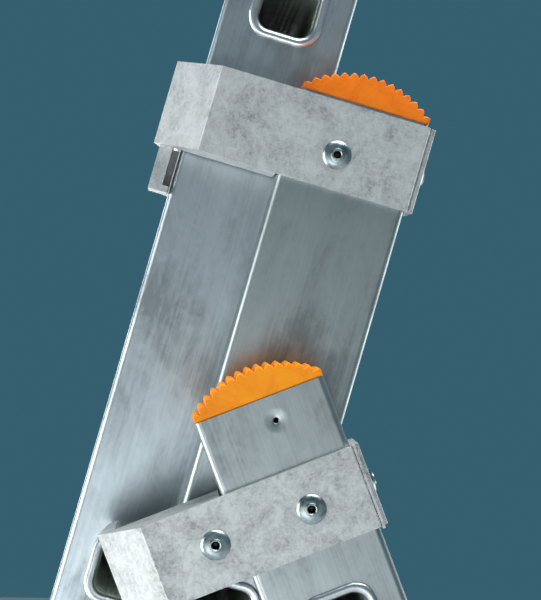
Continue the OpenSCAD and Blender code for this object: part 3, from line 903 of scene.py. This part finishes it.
def make_caps_and_feet():
    # the base section's caps get a brighter, yellower orange than the others: painted light on caps of the
    # same plastic
    painted_light_orange = moulded_plastic("cap_painted_light", (0.97, 0.3, 0.004), 0.5, (1.0, 0.37, 0.006), (0.88, 0.24, 0.004))
    orange = moulded_plastic("cap", (0.93, 0.2, 0.004), 0.5, (0.98, 0.26, 0.006), (0.8, 0.155, 0.004))
    foot_orange = moulded_plastic("foot", (0.84, 0.24, 0.012), 0.5, (0.88, 0.3, 0.03), (0.6, 0.15, 0.01))
    for name, outer_x, _, place, body in SECTIONS:
        cap = moved(plug_mesh(outer_x), z=STILE_LENGTH)
        # the base section's caps take the brighter copy of the cap plastic, which is painted light
        finish = painted_light_orange if name == "base" else orange
        both_sides(f"{name}_cap", cap, place, body, "cap", finish, crease=40)
        foot = plug_mesh(outer_x)
        foot.transform(Matrix.Scale(-1, 4, (0, 0, 1)))
        both_sides(f"{name}_foot", foot, place, body, "foot", foot_orange, crease=40)


# ---------- hooks, latches and pins ----------


def hook_mesh():
    """Hook over the rung behind: a plate on the stile, an arm and a lip."""
    half = RUNG_SIZE / 2
    gap = 0.8
    seat = half - RUNG_STEP + gap
    front = SECTION_PITCH - half - gap
    rear = SECTION_PITCH + half + gap
    outline = fillet([
        (-20, 19), (front - 3, 19), (front, 16), (front, seat + 4), (front + 4, seat), (rear - 4, seat),
        (rear, seat - 4), (rear, -5), (rear + 4, -5), (rear + 6, -2), (rear + 6, seat + 6),
        (rear - 2, seat + 15), (front, seat + 20), (25, 48), (20, 52), (-15, 52), (-20, 47),
    ], 3)
    inner_x = UPPER_X - STILE_WIDTH
    hook = bevelled(crossways(outline, inner_x - HOOK_WIDTH, inner_x), 1.1)
    pocket = fillet([
        (22, 27), (front + 4, seat + 6), (rear - 3, seat + 6), (rear - 5, seat + 10), (25, 38),
    ], 2)
    recess = crossways(pocket, inner_x - HOOK_WIDTH - 1, inner_x - HOOK_WIDTH + 2.5)
    holes = [recess]
    for u, z in HOOK_RIVETS:
        hole = rivet_hole(inner_x - HOOK_WIDTH - 1, inner_x + 1)
        holes.append(moved(hole, y=u, z=z))
    return moved(cut(hook, holes), z=INNER_BOTTOM_RUNG)


def latch_mesh():
    """Sprung finger with an eye round its pin and a ribbed thumb rest."""
    eye = 6.5
    tip = 34
    finger = fillet([(0, -6.2), (tip - 4, -4), (tip, -1), (tip, 2), (tip - 2, 4.5), (0, 4.5)], 1.4)
    left = UPPER_X - STILE_WIDTH - LATCH_WIDTH - 2
    barrel = moved(turned([(0, 0), (0, eye - 0.6), (0.6, eye), (5.4, eye), (6, eye - 0.6), (6, 0)]), left)
    ribs = []
    for u in (22, 25, 28):
        outline = fillet([(u, 4), (u + 1.4, 4), (u + 1.1, 5.1), (u + 0.3, 5.1)], 0.3)
        ribs.append(crossways(outline, left + 0.8, left + 5.2))
    arm = bevelled(crossways(finger, left + 0.03, left + LATCH_WIDTH - 0.03), 0.6)
    bore = crossways(rounded(6.1, 6.1, 3.04, 10), left - 1, left + LATCH_WIDTH + 1)
    return moved(cut(union(barrel, [arm] + ribs), [bore]), y=LATCH_PIN_U, z=LATCH_PIN_Z)


def latch_pin_mesh():
    """Pin with a domed head on each end."""
    length = LATCH_WIDTH + STILE_WALL + 6.6
    pin = turned([
        (0, 0), (0.1, 2.4), (0.5, 3.8), (1.1, 4.5), (1.7, 4.6), (2, 4.4), (2.02, 3),
        (length - 2.02, 3), (length - 2, 4.4), (length - 1.6, 4.6), (length - 0.5, 4.2),
        (length, 3), (length, 0),
    ])
    return moved(pin, UPPER_X - STILE_WIDTH - LATCH_WIDTH - 4.5, LATCH_PIN_U, LATCH_PIN_Z)


def make_hooks(casting, steel, dark):
    body = "upper_section"
    node = "upper_fasteners"
    both_sides("rung_hook", hook_mesh(), UPPER, body, "casting", casting, crease=38)
    latch = latch_mesh()
    for side in SIDES:
        name = f"hook_latch_{side}"
        piece(name, latch, UPPER, f"{side}_latch", "latch", dark, (name,), side == "left")
    latch.free()
    for index, (u, z) in enumerate(HOOK_RIVETS):
        rivet = moved(rivet_mesh(HOOK_WIDTH + STILE_WALL), turn=(180, "Z"))
        rivet = moved(rivet, UPPER_X - STILE_WIDTH - HOOK_WIDTH, u, INNER_BOTTOM_RUNG + z)
        both_sides(f"hook_rivet_{index + 1}", rivet, UPPER, body, "rivet", steel, shared=node)
    both_sides("latch_pin", latch_pin_mesh(), UPPER, body, "rivet", steel, shared=node)


def make_fold_pins(finish):
    """Turned pins with a head in the base stile and a collar in the middle stile."""
    start = MIDDLE_X - STILE_WIDTH - 4
    end = BASE_X - STILE_WIDTH + STILE_WALL + 3.1
    pin = turned([
        (start, 0), (start, 6.4), (start + 0.6, 7), (start + 3.2, 7), (start + 3.8, 6.4),
        (start + 3.82, 4), (end - 3, 4), (end - 2.98, 4.8), (end - 2.5, 5.3), (end - 0.5, 5.3),
        (end, 4.8), (end, 0),
    ])
    pin = moved(pin, 0, -PIN_U, BASE_PIN_Z)
    both_sides("fold_pin", pin, BASE, "base_section", "pin", finish, shared="fold_pins")


# ---------- spreader straps ----------


def strap_box():
    """Lowest and highest corners of the pair of straps, in millimetres."""
    low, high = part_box("spreader_straps")
    return Vector(low) / MM, Vector(high) / MM


def strap_mesh(low, high):
    """One flat strap with softened, slightly uneven selvedges."""
    rows = 160
    section = rounded(STRAP_THICKNESS, STRAP_WIDTH, 0.7, 3)
    middle_z = (low.z + high.z) / 2
    rings = []
    for row in range(rows + 1):
        y = low.y + (high.y - low.y) * row / rows
        end = min(row, rows - row)
        inset = 0.3 if end == 0 else 0
        squeeze = 1 - inset / STRAP_WIDTH * 2
        ripple = 0.25 * noise.noise(Vector((y * 0.05, 0, 0)))
        ring = []
        for x, z in section:
            edge = z / (STRAP_WIDTH / 2)
            ring_x = STRAP_X + STRAP_THICKNESS / 2 + x * squeeze
            ring.append((ring_x, y, middle_z + z * squeeze + ripple * edge * 0.5))
        rings.append(ring)
    return skin(rings)


def stitch_mesh(low_y, high_y, middle_z):
    """Rows of thread in a box with a cross, on both faces of the webbing."""
    height = 8.5
    corners = [(low_y, -height), (high_y, -height), (high_y, height), (low_y, height)]
    runs = [(corners[k], corners[(k + 1) % 4]) for k in range(4)]
    runs += [(corners[0], corners[2]), (corners[1], corners[3])]
    made = bmesh.new()
    pitch = 2.4
    for start, end in runs:
        start = Vector(start)
        end = Vector(end)
        count = max(2, round((end - start).length / pitch))
        angle = math.atan2(end.y - start.y, end.x - start.x)
        for index in range(count):
            centre = start.lerp(end, (index + 0.5) / count)
            for face_x in (STRAP_X, STRAP_X + STRAP_THICKNESS):
                size = Matrix.Diagonal((0.16 * MM, 0.85 * MM, 0.3 * MM, 1))
                spot = shift(face_x, centre.x, middle_z + centre.y)
                turn = Matrix.Rotation(angle, 4, "X")
                bmesh.ops.create_icosphere(made, subdivisions=1, radius=1, matrix=spot @ turn @ size)
    return made


def screw_mesh(seat):
    """Round-headed screw along +X from a wall at x = 0, with a nut behind it."""
    screw = turned([
        (seat + 1.3, 0), (seat + 1.3, 1.9), (seat + 2.0, 2.0), (seat + 1.9, 3.6), (seat + 1.5, 5.2),
        (seat + 0.8, 6.6), (seat + 0.3, 7), (seat, 6.8), (seat, 3),
        (-STILE_WALL - 4, 3), (-STILE_WALL - 4, 0),
    ])
    nut = [(5.5 * math.cos(math.radians(60 * k)), 5.5 * math.sin(math.radians(60 * k))) for k in range(6)]
    return union(screw, [bevelled(crossways(nut, -STILE_WALL - 2.1, -STILE_WALL - 0.1), 0.3)])


def make_straps(steel):
    fabric = webbing("webbing", (0.045, 0.05, 0.058), 0.9)
    thread = moulded_plastic("thread", (0.30, 0.31, 0.32), 0.7, (0.38, 0.39, 0.4), (0.2, 0.21, 0.22))
    low, high = strap_box()
    middle_z = (low.z + high.z) / 2
    rear = high.y - STRAP_END
    front = low.y + STRAP_END
    ends = (("front", "middle_section", front, 1), ("rear", "base_section", rear, -1))
    # the straps lie level, in the ladder's own frame
    upright_frame = Matrix.Identity(4)
    for side in SIDES:
        strap = strap_mesh(low, high)
        if side == "left":
            strap.transform(Matrix.Scale(-1, 4, (1, 0, 0)))
        thing = to_object(strap, f"spreader_strap_{side}")
        for face in thing.data.polygons:
            face.use_smooth = True
        thing.data.materials.append(fabric)
        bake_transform(thing)
        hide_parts("spreader_straps")
    for name, body, y, inward in ends:
        span = sorted((y + inward * 9, y + inward * 36))
        stitches = stitch_mesh(span[0], span[1], middle_z)
        full_name = f"strap_stitching_{name}"
        both_sides(
            full_name, stitches, upright_frame, body, "strap", thread, shared="spreader_straps", crease=180
        )
    inner_wall = BASE_X - STILE_WIDTH
    # each head stands just clear of the strap that it holds
    rear_screw = moved(screw_mesh(inner_wall - STRAP_X + 0.05), turn=(180, "Z"))
    rear_screw = moved(rear_screw, inner_wall, rear, middle_z)
    outer_wall = STRAP_X - MIDDLE_X + STRAP_THICKNESS
    front_screw = moved(screw_mesh(outer_wall + 0.05), MIDDLE_X, front, middle_z)
    screws = (("rear", rear_screw, "base"), ("front", front_screw, "middle"))
    for end, screw, section in screws:
        name = f"strap_screw_{end}"
        body = f"{section}_section"
        node = f"{section}_fasteners"
        both_sides(name, screw, upright_frame, body, "rivet", steel, shared=node)


# ---------- floor ----------


def make_floor():
    """A plain pale disc, 24 m across."""
    disc = bmesh.new()
    bmesh.ops.create_circle(disc, cap_ends=True, radius=12, segments=96)
    thing = to_object(disc, "floor")
    thing.data.materials.append(floor_paint())
    return thing


make_camera()
make_studio(make_floor())
steel = (
    zinc_steel("zinc_steel", (0.37, 0.43, 0.44), 0.3),
    # the second, near-black steel finish is painted shade in the rivets' hollows
    zinc_steel("rivet_hollow_painted_shade", (0.07, 0.075, 0.08), 0.55),
)
turned_steel = zinc_steel("pin_steel", (0.5, 0.53, 0.56), 0.33)
dark = moulded_plastic(
    "dark_plastic", (0.035, 0.037, 0.041), 0.45, (0.06, 0.062, 0.068), (0.022, 0.023, 0.026)
)
make_stiles_and_rungs()
casting = make_brackets(steel, dark)
make_caps_and_feet()
make_hooks(casting, steel, dark)
make_fold_pins(turned_steel)
make_straps(steel)

bpy.context.view_layer.update()
